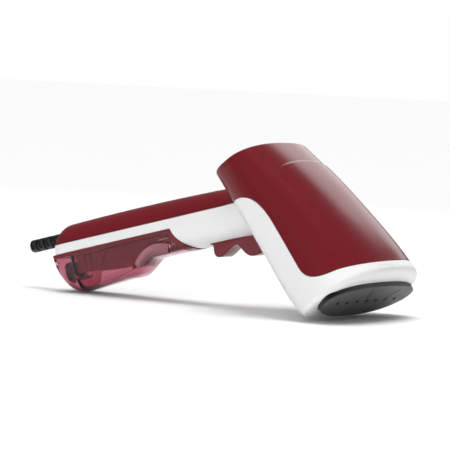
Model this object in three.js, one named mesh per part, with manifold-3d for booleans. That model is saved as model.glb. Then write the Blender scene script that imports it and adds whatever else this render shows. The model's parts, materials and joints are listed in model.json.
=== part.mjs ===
// Handheld garment steamer lying on a table, in millimetres, +Z up.
// The head is a flared barrel with the steam plate at its front. The grip hangs from the
// barrel's underside at the rear, and carries the trigger and a slide-off water tank.
// Two frames are used, both with their origin at the middle of the steam hole row:
//   head frame: +X out of the steam plate, +Z towards the top of the barrel
//   grip frame: +X from the cord end towards the head, +Z towards the back of the hand
import * as THREE from 'three';
import { mergeVertices } from 'three/addons/utils/BufferGeometryUtils.js';
import Module from 'manifold-3d';

const wasm = await Module();
wasm.setup();

// ---- driving dimensions -------------------------------------------------------------
const GAP = 0.3; // clearance between touching pieces
const WALL = 2.2; // moulded wall

const GRIP_LEAN = THREE.MathUtils.degToRad(24.9); // grip against the plate's own plane

const BARREL_REAR = -118.4; // rear rim of the barrel
const BARREL_DOME = 1.6; // how far the rear wall bulges
const WIDEST_LEVEL = -8; // height at which the barrel is widest
const REAR_HALF_WIDTH = 48.5;
const FRONT_HALF_WIDTH = 60;
const CROWN_FRONT = 30.5;
const CROWN_DROP = 18.4; // how far the crown line falls towards the rear rim
const BELLY = -28;
const BELLY_RISE = 4.5; // how far the underside rises to the front edge
const FRONT_ROUND = 4; // rounding of the bezel's front edge
const SEAM_LEVEL = -20; // joint between bezel wings and underside
const REAR_SEAM = -24.5; // lower edge of the red shell behind the wings
const BAND_REAR = -14; // the bezel is a closed ring in front of this

const PLATE = { halfWidth: 55, top: 16.9, bottom: -17.4, widest: 3, front: 3.2, back: -1 };
const RIM_WIDTH = 2;
const HOLE_COUNT = 7;
const HOLE_PITCH = 13;
const HOLE_RADIUS = 1.7;

const GRIP_AXIS = 73; // grip frame height of the neck's middle
const GRIP_HALF_WIDTH = 18.5;
const GRIP_BACK = 92; // height of the back of the grip
const NECK_BOTTOM = 54.5;
const GRIP_REAR = -227; // cord end of the grip
const GRIP_FRONT = -54; // end of the grip inside the barrel
const END_ROUND = 8; // rounding of the grip's cord end
const COVER_LINE = 78.2; // red back cover above, white body below
const BAY_CEILING = 71.6; // the tank hangs below this line
const NECK_END = { x: -103, z: 78, radius: 26 }; // the neck's round lower end
const CORD_LEVEL = 82.7; // height of the cord guard's axis
const GUARD_RADIUS = 4.5;

const TANK = { rear: -227.4, bottom: 43.2, halfWidth: 17.8, wall: 1.6, rearCapStart: -213 };

// ---- materials ----------------------------------------------------------------------
function finish(color, roughness, metalness = 0) {
  return () => new THREE.MeshStandardMaterial({ color, roughness, metalness });
}
const redGloss = finish('#6f1a24', 0.25);
const whiteGloss = finish('#eceded', 0.3);
const tankRed = finish('#8c2232', 0.1);
const blackPlastic = finish('#1c1c1e', 0.6);
const satinPlate = finish('#4c4c4e', 0.45, 0.4);
const castMetal = finish('#9a9c9e', 0.5, 0.8);
const steel = finish('#b9bcc0', 0.3, 1);
const rubber = finish('#1f1f20', 0.85);
const silicone = finish('#d9d4cc', 0.7);
const greyPlastic = finish('#77797c', 0.6);
const boardGreen = finish('#1f5a38', 0.6);
const copper = finish('#b06a3a', 0.4, 0.9);

// ---- solids -------------------------------------------------------------------------
function signedVolume(position, index) {
  let volume = 0;
  const [a, b, c] = [new THREE.Vector3(), new THREE.Vector3(), new THREE.Vector3()];
  for (let i = 0; i < index.length; i += 3) {
    a.fromBufferAttribute(position, index[i]);
    b.fromBufferAttribute(position, index[i + 1]);
    c.fromBufferAttribute(position, index[i + 2]);
    volume += a.dot(b.cross(c)) / 6;
  }
  return volume;
}

// A closed geometry as a solid that can be joined and cut.
function solid(source) {
  const geometry = source.clone();
  geometry.deleteAttribute('normal');
  geometry.deleteAttribute('uv');
  const merged = mergeVertices(geometry, 1e-4);
  const position = merged.attributes.position;
  const triVerts = new Uint32Array(merged.index.array);
  if (signedVolume(position, triVerts) < 0) {
    for (let i = 0; i < triVerts.length; i += 3) {
      [triVerts[i], triVerts[i + 1]] = [triVerts[i + 1], triVerts[i]];
    }
  }
  const vertProperties = new Float32Array(position.array);
  return new wasm.Manifold(new wasm.Mesh({ numProp: 3, vertProperties, triVerts }));
}

function geometryOf(body) {
  const { vertProperties, triVerts, numProp } = body.getMesh();
  const positions = new Float32Array((vertProperties.length / numProp) * 3);
  for (let i = 0; i < positions.length / 3; i += 1) {
    for (let k = 0; k < 3; k += 1) positions[3 * i + k] = vertProperties[numProp * i + k];
  }
  const geometry = new THREE.BufferGeometry();
  geometry.setAttribute('position', new THREE.BufferAttribute(positions, 3));
  geometry.setIndex(new THREE.BufferAttribute(new Uint32Array(triVerts), 1));
  return geometry;
}

function piece(name, shape, material) {
  const geometry = shape.isBufferGeometry ? shape : geometryOf(shape);
  const mesh = new THREE.Mesh(geometry, material());
  mesh.name = name;
  return mesh;
}

// Skins equal rings of points into one closed body, with a fan over each end.
function loft(rings) {
  const count = rings[0].length;
  const positions = rings.flat().flatMap((p) => [p.x, p.y, p.z]);
  const index = [];
  for (let i = 0; i < rings.length - 1; i += 1) {
    for (let j = 0; j < count; j += 1) {
      const a = i * count + j;
      const b = i * count + ((j + 1) % count);
      index.push(a, b, a + count, b, b + count, a + count);
    }
  }
  [0, rings.length - 1].forEach((i) => {
    const middle = rings[i].reduce((sum, p) => sum.add(p), new THREE.Vector3());
    middle.divideScalar(count);
    const hub = positions.length / 3;
    positions.push(middle.x, middle.y, middle.z);
    for (let j = 0; j < count; j += 1) {
      const a = i * count + j;
      const b = i * count + ((j + 1) % count);
      index.push(...(i === 0 ? [hub, b, a] : [hub, a, b]));
    }
  });
  const geometry = new THREE.BufferGeometry();
  geometry.setAttribute('position', new THREE.Float32BufferAttribute(positions, 3));
  geometry.setIndex(index);
  return geometry;
}

function boxAt(x, y, z, cx, cy, cz) {
  return new THREE.BoxGeometry(x, y, z).translate(cx, cy, cz);
}

// A cylinder along X from x0 to x1.
function rodX(radius, x0, x1, y, z, sides = 20) {
  const rod = new THREE.CylinderGeometry(radius, radius, x1 - x0, sides);
  return rod.rotateZ(-Math.PI / 2).translate((x0 + x1) / 2, y, z);
}

// A cylinder across the object, along Y.
function rodY(radius, length, x, z, sides = 20) {
  return new THREE.CylinderGeometry(radius, radius, length, sides).translate(x, 0, z);
}

// A cylinder along Z from z0 to z1.
function rodZ(radius, z0, z1, x, y, sides = 16) {
  const rod = new THREE.CylinderGeometry(radius, radius, z1 - z0, sides);
  return rod.rotateX(Math.PI / 2).translate(x, y, (z0 + z1) / 2);
}

// An X-Z outline given thickness across the object, centred on the midplane.
function slab(shape, thickness, curveSegments = 8) {
  const geometry = new THREE.ExtrudeGeometry(shape, {
    depth: thickness,
    bevelEnabled: false,
    curveSegments,
  });
  return geometry.rotateX(Math.PI / 2).translate(0, thickness / 2, 0);
}

// A profile of [radius, x] pairs turned about an X axis.
function turned(profile, y, z, segments = 16) {
  const points = profile.map(([radius, x]) => new THREE.Vector2(radius, x));
  const lathe = new THREE.LatheGeometry(points, segments);
  return lathe.rotateZ(-Math.PI / 2).translate(0, y, z);
}

// A round tube along a smooth curve through points.
function tube(points, radius, steps, sides = 8) {
  const path = new THREE.CatmullRomCurve3(points.map((p) => new THREE.Vector3(...p)));
  const section = new THREE.Shape();
  for (let i = 0; i < sides; i += 1) {
    const angle = (2 * Math.PI * i) / sides;
    const corner = [radius * Math.cos(angle), radius * Math.sin(angle)];
    if (i === 0) section.moveTo(...corner);
    else section.lineTo(...corner);
  }
  section.closePath();
  return new THREE.ExtrudeGeometry(section, { steps, extrudePath: path, bevelEnabled: false });
}

const power = (value, exponent) => Math.sign(value) * Math.abs(value) ** exponent;
const ease = (t) => {
  const k = THREE.MathUtils.clamp(t, 0, 1);
  return k * k * (3 - 2 * k);
};

// ---- barrel outline -----------------------------------------------------------------
function barrelSection(x, inset) {
  const along = THREE.MathUtils.clamp(1 - x / BARREL_REAR, 0, 1);
  const spread = FRONT_HALF_WIDTH - REAR_HALF_WIDTH;
  const back = Math.max(0, (-x - 15) / (-BARREL_REAR - 15));
  const front = Math.max(0, 1 + x / 28);
  const edge = Math.min(FRONT_ROUND, Math.max(0, x + FRONT_ROUND));
  const round = FRONT_ROUND - Math.sqrt(FRONT_ROUND ** 2 - edge ** 2);
  return {
    halfWidth: REAR_HALF_WIDTH + spread * along ** 1.5 - inset - round,
    top: CROWN_FRONT - CROWN_DROP * back ** 1.6 - inset - round,
    bottom: BELLY + BELLY_RISE * front ** 2 + inset + round * 0.4,
  };
}

function barrelRing(x, inset, scale = 1, depth = 0, count = 36) {
  const { halfWidth, top, bottom } = barrelSection(x, inset);
  const squareness = 2.6 - 0.2 * (x / BARREL_REAR) ** 2;
  const ring = [];
  for (let i = 0; i < count; i += 1) {
    const angle = (2 * Math.PI * (i + 0.5)) / count;
    const c = Math.cos(angle);
    const s = Math.sin(angle);
    const exponent = s >= 0 ? 2 / squareness : 2 / 3;
    const reach = s >= 0 ? top - WIDEST_LEVEL : WIDEST_LEVEL - bottom;
    const y = halfWidth * power(c, exponent) * scale;
    const z = WIDEST_LEVEL + reach * power(s, exponent) * scale;
    ring.push(new THREE.Vector3(x - depth, y, z));
  }
  return ring;
}

// The inner surface (inset above 0) stops a wall short of the front.
function barrel(inset) {
  const rear = BARREL_REAR + inset;
  const rings = [0.45, 0.85].map((k) => barrelRing(rear, inset, k, BARREL_DOME * (1 - k * k)));
  [1, 0.82, 0.62, 0.42, 0.25, 0.11].forEach((k) => {
    rings.push(barrelRing(rear * k, inset));
  });
  const front = inset > 0 ? [-4, -inset] : [-4, -1.8, -0.5, 0];
  front.forEach((x) => rings.push(barrelRing(x, inset)));
  return solid(loft(rings));
}

// Side view of the red shell. It rises over the white wings of the bezel.
function redRegion(grow) {
  const low = -grow;
  const region = new THREE.Shape();
  region.moveTo(BARREL_REAR - 12, REAR_SEAM + low);
  region.lineTo(-94.5 + grow, REAR_SEAM + low);
  region.lineTo(-93.5 + grow, -19.2 + low);
  region.bezierCurveTo(-92 + grow, -8 + low, -84, -1.5 + low, -60, -1.5 + low);
  region.lineTo(-27, -1.2 + low);
  region.bezierCurveTo(-18.5 + grow, -1 + low, -13.5 + grow, 5, -12 + grow, 16.5);
  region.lineTo(-8 + grow, 30.5);
  region.lineTo(-7 + grow, 45);
  region.lineTo(BARREL_REAR - 12, 45);
  region.closePath();
  return solid(slab(region, 140));
}

// ---- steam plate outline ------------------------------------------------------------
function plateShape(inset, count = 40) {
  const shape = new THREE.Shape();
  for (let i = 0; i < count; i += 1) {
    const angle = (2 * Math.PI * i) / count;
    const s = Math.sin(angle);
    const exponent = s >= 0 ? 2 / 2.4 : 2 / 2.2;
    const reach = s >= 0 ? PLATE.top - PLATE.widest : PLATE.widest - PLATE.bottom;
    const y = (PLATE.halfWidth - inset) * power(Math.cos(angle), exponent);
    const z = PLATE.widest + (reach - inset) * power(s, exponent);
    if (i === 0) shape.moveTo(y, z);
    else shape.lineTo(y, z);
  }
  shape.closePath();
  return shape;
}

// A flat outline in the plate's plane, given thickness from x0 to x1.
function plateSlab(shape, x0, x1) {
  const geometry = new THREE.ExtrudeGeometry(shape, { depth: x1 - x0, bevelEnabled: false });
  return geometry.rotateX(Math.PI / 2).rotateZ(Math.PI / 2).translate(x0, 0, 0);
}

function holeRow(x0, x1) {
  const middle = (HOLE_COUNT - 1) / 2;
  const rods = [];
  for (let i = 0; i < HOLE_COUNT; i += 1) {
    rods.push(solid(rodX(HOLE_RADIUS, x0, x1, (i - middle) * HOLE_PITCH, 0, 12)));
  }
  return rods.reduce((all, rod) => all.add(rod));
}

// ---- grip outline -------------------------------------------------------------------
function gripRing(x, inset, count = 26) {
  const flare = 5 * ease((x + 88) / 26);
  const crown = 1.4 * ((x + 165) / 75) ** 2;
  const toEnd = Math.max(0, GRIP_REAR + END_ROUND - x) / END_ROUND;
  const round = END_ROUND - END_ROUND * Math.sqrt(Math.max(0, 1 - toEnd ** 2));
  const halfWidth = GRIP_HALF_WIDTH + flare - inset - round * 0.35;
  const up = GRIP_BACK - crown - GRIP_AXIS - inset - round;
  const down = GRIP_AXIS - NECK_BOTTOM - inset;
  const ring = [];
  for (let i = 0; i < count; i += 1) {
    const angle = (2 * Math.PI * (i + 0.5)) / count;
    const s = Math.sin(angle);
    const y = halfWidth * power(Math.cos(angle), 2 / 2.3);
    const z = GRIP_AXIS + (s >= 0 ? up : down) * power(s, 2 / 2.3);
    ring.push(new THREE.Vector3(x, y, z));
  }
  return ring;
}

function grip(inset, front) {
  const rear = GRIP_REAR + Math.max(0, inset);
  const end = [0, 0.8, 3, 8].map((step) => rear + step);
  const stations = [...end, -190, -150, -110, -88, -76, -62, front];
  return loft(stations.map((x) => gripRing(x, inset)));
}

// Points on the neck's round end from one angle below the horizontal to another.
function neckArc(radius, from, to, steps = 8) {
  return Array.from({ length: steps + 1 }, (_, i) => {
    const angle = from + ((to - from) * i) / steps;
    return [NECK_END.x - radius * Math.cos(angle), NECK_END.z - radius * Math.sin(angle)];
  });
}

// Everything below the tank bay's ceiling and behind the neck's round end.
function bayRegion(thicken) {
  const radius = NECK_END.radius - thicken;
  const ceiling = BAY_CEILING + thicken;
  const top = Math.asin((NECK_END.z - ceiling) / radius);
  const bottom = Math.asin((NECK_END.z - NECK_BOTTOM + 2.5) / (NECK_END.radius + 1));
  const bay = new THREE.Shape();
  bay.moveTo(-260, ceiling);
  bay.lineTo(-260, 20);
  neckArc(radius, bottom, top).forEach(([x, z], i) => {
    if (i === 0) bay.lineTo(x, 20);
    bay.lineTo(x, z);
  });
  bay.closePath();
  return solid(slab(bay, 90));
}

// ---- tank outline -------------------------------------------------------------------
// Lowest point of the tank along its length: a round rear end, a belly that rises a little
// towards the head, and a thin nose under the neck's round end.
function tankBottom(x) {
  const toRear = THREE.MathUtils.clamp((x + 215.5) / (TANK.rear + 215.5), 0, 1);
  const rearRise = 18 * (1 - Math.sqrt(1 - toRear ** 2));
  const belly = TANK.bottom + 1.6 * THREE.MathUtils.clamp((x + 212) / 36, 0, 1);
  return belly + rearRise + (NECK_BOTTOM - TANK.bottom - 1.6) * ease((x + 170) / 19);
}

// Flat-sided at the top and round below. The inner surface (inset above 0) runs up through
// the top, so that it opens the tank.
function tankBody(inset) {
  const ring = (x) => {
    const bottom = tankBottom(Math.max(x, TANK.rear + 0.01));
    const steps = 14;
    const points = [];
    for (let i = 0; i <= steps; i += 1) {
      const angle = (Math.PI * i) / steps;
      const y = (TANK.halfWidth - inset) * power(Math.cos(angle), 2 / 3);
      const z = BAY_CEILING - (BAY_CEILING - bottom - inset) * power(Math.sin(angle), 2 / 3);
      points.push(new THREE.Vector3(x, y, z));
    }
    points.push(new THREE.Vector3(x, inset - TANK.halfWidth, 80));
    points.push(new THREE.Vector3(x, TANK.halfWidth - inset, 80));
    return points;
  };
  const rear = TANK.rear + inset;
  const stations = [rear, -226.4, -224.4, -221, -215.5, -170, -166, -163, -160, -157, -154, -151];
  const channel = solid(loft([...stations.filter((x) => x >= rear), -100].map(ring)));
  const radius = NECK_END.radius + GAP + inset;
  const ceiling = inset > 0 ? 90 : BAY_CEILING - GAP;
  const start = Math.asin((NECK_END.z - NECK_BOTTOM - inset - 1.2) / radius);
  const end = Math.asin((NECK_END.z - BAY_CEILING + GAP) / radius);
  const side = new THREE.Shape();
  side.moveTo(-240, ceiling);
  side.lineTo(-240, 30);
  neckArc(radius, start, end).forEach(([x, z], i) => {
    if (i === 0) side.lineTo(x, 30);
    side.lineTo(x, z);
  });
  if (inset > 0) side.lineTo(NECK_END.x - radius * Math.cos(end), ceiling);
  side.closePath();
  return channel.intersect(solid(slab(side, 60)));
}

function block(x0, x1, z0, z1, width = 80) {
  return solid(boxAt(x1 - x0, width, z1 - z0, (x0 + x1) / 2, 0, (z0 + z1) / 2));
}

// ---- barrel pieces (head frame) -----------------------------------------------------
const gripInHead = new THREE.Matrix4().makeRotationY(GRIP_LEAN - Math.PI / 2);

function shellPieces() {
  const shell = barrel(0).subtract(barrel(WALL));
  const red = shell.intersect(redRegion(0));
  const white = shell.subtract(redRegion(GAP));
  const opening = solid(plateSlab(plateShape(-GAP), -6, 1));
  const belowSeam = block(-130, 30, -80, SEAM_LEVEL - GAP / 2, 160);
  const aboveSeam = block(-93.5, 2.5, SEAM_LEVEL + GAP / 2, 60, 160);
  const frontBand = block(BAND_REAR, 6, -45, 45, 160);
  const neck = solid(grip(-GAP, GRIP_FRONT + 6).applyMatrix4(gripInHead));
  const bezel = white.intersect(aboveSeam.add(frontBand)).subtract(opening);
  const tray = white.subtract(aboveSeam).intersect(belowSeam.add(block(-130, -94, -30, 0)));
  const lower = tray.subtract(block(BAND_REAR - GAP, 6, -45, 45, 160));
  return [
    piece('top_shell', red.subtract(neck), redGloss),
    piece('front_bezel', bezel, whiteGloss),
    piece('lower_housing', lower.subtract(neck), whiteGloss),
  ];
}

function platePieces() {
  const inside = RIM_WIDTH + GAP;
  const collar = solid(plateSlab(plateShape(0), -WALL - 2.7, PLATE.front - GAP));
  const bore = solid(plateSlab(plateShape(RIM_WIDTH), -10, 10));
  const face = solid(plateSlab(plateShape(inside), PLATE.back, PLATE.front));
  return [
    piece('plate_rim', collar.subtract(bore), blackPlastic),
    piece('steam_plate', face.subtract(holeRow(-5, 5)), satinPlate),
  ];
}

const GENERATOR = { inset: 8.5, wall: 3, front: -1.3, back: -24, legs: 30 };

function generatorPieces() {
  const { inset, wall, front, back, legs } = GENERATOR;
  const cast = solid(plateSlab(plateShape(inset), back, front));
  const chamber = solid(plateSlab(plateShape(inset + wall), back - 1, front - wall));
  const lid = solid(plateSlab(plateShape(inset), back - GAP - 2.6, back - GAP));
  const nipple = solid(rodX(3, back - 13, back - 1, 0, 4, 16));
  const cuts = solid(rodX(1.5, back - 14, back + 1, 0, 4, 12))
    .add(solid(rodX(3.4, back - 6, back + 1, legs, 0, 16)))
    .add(solid(rodX(3.4, back - 6, back + 1, -legs, 0, 16)));
  const bend = [
    [back - 12, -legs, 0],
    [back - 1, -legs, 0],
    [back + 9, -legs + 4, 0],
    [back + 12, -legs + 14, 0],
    [back + 12, 0, 0],
    [back + 12, legs - 14, 0],
    [back + 9, legs - 4, 0],
    [back - 1, legs, 0],
    [back - 12, legs, 0],
  ];
  const frame = solid(plateSlab(plateShape(4.5), -16, -9));
  const coverBack = back - GAP - 2.6 - GAP;
  return [
    piece('steam_generator', cast.subtract(chamber).subtract(holeRow(-6, 0)), castMetal),
    piece('heating_element', solid(tube(bend, 2.8, 24)), steel),
    piece('generator_cover', lid.add(nipple).subtract(cuts), castMetal),
    piece('insulating_frame', frame.subtract(solid(plateSlab(plateShape(inset - GAP), -30, 0))),
      greyPlastic),
    piece('thermostat', rodX(6.5, coverBack - 6, coverBack, 15, 0, 20), steel),
    piece('thermal_fuse', rodX(3, coverBack - 10, coverBack, -15, 0, 12), castMetal),
  ];
}

// ---- grip pieces (grip frame) -------------------------------------------------------
const GUARD = { end: -255.5, flange: -217, ribs: [-236, -242.5, -249], bore: 3 };
const LIGHT_X = -98;
const CLAMP_X = -212;
const GRIP_SCREWS = { grip_screw_front: -138, grip_screw_rear: -205 };
const SCREW_SEAT = 74; // the screw heads are sunk up to this height
const BOSS_TOP = 76;
const SCREW_RADIUS = 1.5;
const PIVOT = { x: -63, z: 58.5 };
const TRIGGER_HALF_WIDTH = 8.2;
const VALVE_LEVEL = 64; // height of the tank's outlet

function gripShells() {
  const outer = solid(grip(0, GRIP_FRONT));
  const inner = solid(grip(WALL, GRIP_FRONT + 10));
  const guardHole = solid(rodX(GUARD_RADIUS + GAP, -230, -220, 0, CORD_LEVEL));
  const lightHole = solid(rodZ(3 + GAP, 80, 95, LIGHT_X, 0));
  const slot = solid(boxAt(47, 2 * TRIGGER_HALF_WIDTH + 1.2, 12, -81.2, 0, 53));
  const portHole = solid(rodX(4 + GAP, -135, -115, 0, VALVE_LEVEL));
  let body = outer.subtract(bayRegion(0)).subtract(inner.subtract(bayRegion(WALL)));
  const bosses = solid(rodY(3.4, 29, PIVOT.x, PIVOT.z))
    .subtract(solid(boxAt(20, 2 * TRIGGER_HALF_WIDTH + 1.2, 20, PIVOT.x, 0, PIVOT.z)));
  body = body.add(bosses).subtract(slot).subtract(portHole).subtract(guardHole);
  body = body.subtract(solid(rodY(1.5 + GAP, 26.6, PIVOT.x, PIVOT.z)));
  const posts = [];
  Object.values(GRIP_SCREWS).forEach((x) => {
    body = body.add(solid(rodZ(4.6, BAY_CEILING, BOSS_TOP, x, 0)));
    body = body.subtract(solid(rodZ(SCREW_RADIUS + GAP, BAY_CEILING, BOSS_TOP + 1, x, 0)));
    body = body.subtract(solid(rodZ(3.1, BAY_CEILING - 1, SCREW_SEAT, x, 0)));
    posts.push(solid(rodZ(3.4, BOSS_TOP + GAP, 90.3, x, 0)));
  });
  let cover = outer.subtract(inner).subtract(guardHole).subtract(lightHole);
  cover = cover.intersect(block(-240, -50, COVER_LINE + GAP / 2, 95));
  posts.forEach((post) => { cover = cover.add(post); });
  Object.values(GRIP_SCREWS).forEach((x) => {
    cover = cover.subtract(solid(rodZ(SCREW_RADIUS + GAP, BOSS_TOP, 85, x, 0)));
  });
  return [
    piece('handle_body', body.intersect(block(-240, -50, 40, COVER_LINE - GAP / 2)), whiteGloss),
    piece('handle_back_cover', cover, redGloss),
  ];
}

function gripScrews() {
  return Object.entries(GRIP_SCREWS).map(([name, x]) => {
    const head = solid(rodZ(2.8, SCREW_SEAT - 2.1, SCREW_SEAT - GAP, x, 0));
    return piece(name, head.add(solid(rodZ(SCREW_RADIUS, SCREW_SEAT - 1, 84, x, 0))), steel);
  });
}

function triggerPieces() {
  const outline = new THREE.Shape();
  outline.moveTo(-102.8, 58.8);
  outline.lineTo(-103.4, 50);
  outline.quadraticCurveTo(-103.2, 45.9, -99, 45.8);
  outline.bezierCurveTo(-95, 45.8, -89, 51.9, -85, 51.6);
  outline.bezierCurveTo(-81.5, 51.2, -80.5, 41.8, -73, 41.8);
  outline.quadraticCurveTo(-63, 42, -60, 48);
  outline.lineTo(-59.6, 58);
  outline.quadraticCurveTo(-60, 62, -64, 62);
  outline.closePath();
  const lever = solid(slab(outline, 2 * TRIGGER_HALF_WIDTH, 5));
  const pocket = solid(rodZ(3.2, 54.6, 64, -80, 0));
  const bore = solid(rodY(1.5 + GAP, 30, PIVOT.x, PIVOT.z));
  return [piece('trigger', lever.subtract(pocket).subtract(bore), redGloss)];
}

function triggerFittings() {
  const turns = 4;
  const coil = [];
  for (let i = 0; i <= turns * 8; i += 1) {
    const angle = (2 * Math.PI * i) / 8;
    const z = 56.6 + (6.6 * i) / (turns * 8);
    coil.push([-80 + 2.3 * Math.cos(angle), 2.3 * Math.sin(angle), z]);
  }
  const switchBox = solid(boxAt(12, 7, 6.4, -97, 8, 64.9));
  return [
    piece('trigger_pin', rodY(1.5, 26, PIVOT.x, PIVOT.z), steel),
    piece('trigger_spring', tube(coil, 0.4, turns * 10, 5), steel),
    piece('micro_switch', switchBox.subtract(solid(rodZ(1.5, 60, 65.6, -97, 7))), blackPlastic),
  ];
}

const PUMP = { axis: 74, rear: -92, front: -42 };

function pumpPieces() {
  const { axis, rear, front } = PUMP;
  const profile = [
    [1.2, rear], [2.4, rear], [2.4, rear + 6], [5, rear + 6], [5, front - 6], [2.4, front - 6],
    [2.4, front], [1.2, front], [1.2, front - 8], [3.5, front - 8], [3.5, rear + 8],
    [1.2, rear + 8], [1.2, rear],
  ];
  const winding = solid(boxAt(20, 19, 18.6, -70, 0, axis));
  return [
    piece('pump_body', turned(profile, 0, axis), greyPlastic),
    piece('pump_coil', winding.subtract(solid(rodX(5 + GAP, -90, -50, 0, axis))), copper),
  ];
}

function waterPath() {
  const socketProfile = [
    [4 + GAP, -128], [6.6, -128], [6.6, -111.6], [2.4, -111.6], [2.4, -106.5], [1.3, -106.5],
    [1.3, -113.2], [4 + GAP, -113.2], [4 + GAP, -115], [5.2, -115], [5.2, -117.2],
    [4 + GAP, -117.2], [4 + GAP, -128],
  ];
  const socket = solid(turned(socketProfile, 0, VALVE_LEVEL));
  const seal = [[4.1, -116.9], [4.9, -116.9], [4.9, -115.3], [4.1, -115.3], [4.1, -116.9]];
  const route = [
    [-105.8, 0, VALVE_LEVEL],
    [-103.5, 0, VALVE_LEVEL + 0.4],
    [-99.3, 0, (VALVE_LEVEL + PUMP.axis) / 2],
    [-95.2, 0, PUMP.axis - 0.4],
    [PUMP.rear - 0.8, 0, PUMP.axis],
  ];
  return [
    piece('inlet_socket', socket.subtract(bayRegion(WALL + GAP)), greyPlastic),
    piece('socket_seal', turned(seal, 0, VALVE_LEVEL), silicone),
    piece('suction_hose', tube(route, 2.4, 10), silicone),
  ];
}

function electronics() {
  const board = solid(boxAt(52, 26, 1.6, -171, 0, 76.6));
  const lens = solid(rodZ(3, 86.4, 90.5, LIGHT_X, 0)).add(solid(rodZ(4.2, 86.4, 87.8, LIGHT_X, 0)));
  return [
    piece('circuit_board', board, boardGreen),
    piece('capacitor', boxAt(17, 8, 9, -162, 4, 82.2), blackPlastic),
    piece('terminal_block', boxAt(10, 16, 7.5, -189, 0, 81.5), greyPlastic),
    piece('ready_light', lens, silicone),
  ];
}

function cordFittings() {
  const profile = [[GUARD.bore, GUARD.end], [GUARD_RADIUS - 1, GUARD.end]];
  profile.push([GUARD_RADIUS, GUARD.end + 1.6]);
  [...GUARD.ribs].reverse().forEach((x) => {
    profile.push([GUARD_RADIUS, x - 0.9], [GUARD_RADIUS - 1.1, x - 0.5]);
    profile.push([GUARD_RADIUS - 1.1, x + 0.5], [GUARD_RADIUS, x + 0.9]);
  });
  const inside = GUARD.flange - 2.5;
  profile.push([GUARD_RADIUS, inside], [GUARD_RADIUS + 0.9, inside]);
  profile.push([GUARD_RADIUS + 0.9, GUARD.flange], [GUARD.bore, GUARD.flange]);
  profile.push([GUARD.bore, GUARD.end]);
  const clamp = solid(boxAt(6, 17, 4, CLAMP_X, 0, 84.2));
  const screws = [6.3, -6.3];
  let bar = clamp.subtract(solid(rodX(GUARD.bore, -220, -200, 0, CORD_LEVEL)));
  screws.forEach((y) => {
    bar = bar.subtract(solid(rodZ(1.2 + GAP, 80, 90, CLAMP_X, y, 12)));
  });
  return [
    piece('cord_guard', turned(profile, 0, CORD_LEVEL, 18), rubber),
    piece('cord_clamp', bar, greyPlastic),
    ...screws.map((y, i) => piece(`clamp_screw_${i + 1}`, rodZ(1.2, 78, 85.8, CLAMP_X, y, 12), steel)),
  ];
}

// ---- tank pieces (grip frame) -------------------------------------------------------
const LID_BOTTOM = 68.7;
const FILLER = { level: 58.5, radius: 6.6, bore: 5.1, neckEnd: -224.8 };

function tankPieces() {
  const cutX = TANK.rearCapStart;
  const below = block(-240, -100, 20, LID_BOTTOM - GAP);
  const outer = tankBody(0).intersect(below);
  const inner = tankBody(TANK.wall);
  const ahead = block(cutX + GAP, -100, 20, 95);
  const behind = block(-240, cutX, 20, 95);
  const wallFree = block(cutX + GAP + TANK.wall, -100, 20, 95);
  const spout = solid(rodX(4, -134, -115, 0, VALVE_LEVEL));
  const filler = solid(rodX(FILLER.radius, FILLER.neckEnd, cutX + 1, 0, FILLER.level, 24));
  const bores = solid(rodX(2.2, -140, -110, 0, VALVE_LEVEL, 12))
    .add(solid(rodX(FILLER.bore, -235, cutX + 4, 0, FILLER.level, 24)));
  const reservoir = outer.intersect(ahead).add(spout).add(filler)
    .subtract(inner.intersect(wallFree).subtract(spout)).subtract(bores);
  const clearance = solid(rodX(FILLER.radius + GAP, -240, -205, 0, FILLER.level, 24))
    .add(solid(rodX(7.8, -240, FILLER.neckEnd + 0.4, 0, FILLER.level, 24)));
  const rearCap = outer.intersect(behind)
    .subtract(inner)
    .subtract(clearance);
  const lid = tankBody(0).intersect(block(-240, -100, LID_BOTTOM, 90));
  return { reservoir, rearCap, lid };
}

function tankMeshes() {
  const { reservoir, rearCap, lid } = tankPieces();
  const pickup = [
    [-141, 0, VALVE_LEVEL],
    [-148, 0, VALVE_LEVEL - 1],
    [-160, 0, 59],
    [-174, 0, 53],
    [-184, 0, 50],
    [-202, 0, 48.6],
  ];
  return [
    piece('tank_reservoir', reservoir, tankRed),
    piece('tank_rear_cap', rearCap, tankRed),
    piece('tank_lid', lid, tankRed),
    piece('pickup_tube', tube(pickup, 1.8, 16), silicone),
  ];
}

function fillerPlug() {
  const profile = [
    [0, -227.2], [7.5, -227.2], [7.5, FILLER.neckEnd - GAP], [4.8, FILLER.neckEnd - GAP],
    [4.8, -217], [0, -217],
  ];
  return piece('filler_plug', turned(profile, 0, FILLER.level, 24), rubber);
}

function valvePlunger() {
  const profile = [[0, -137], [3.4, -137], [3.4, -134.4], [1.4, -134.4], [1.4, -114], [0, -114]];
  return piece('valve_plunger', turned(profile, 0, VALVE_LEVEL), steel);
}

function movingSmallPieces() {
  return [
    piece('switch_plunger', rodZ(1.1, 60.2, 63, -97, 7, 12), greyPlastic),
    piece('pump_piston', rodX(3.1, -80, -64, 0, PUMP.axis, 16), steel),
  ];
}

// ---- routed pieces (head frame) -----------------------------------------------------
const fromGrip = (x, y, z) => new THREE.Vector3(x, y, z).applyMatrix4(gripInHead).toArray();

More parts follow.
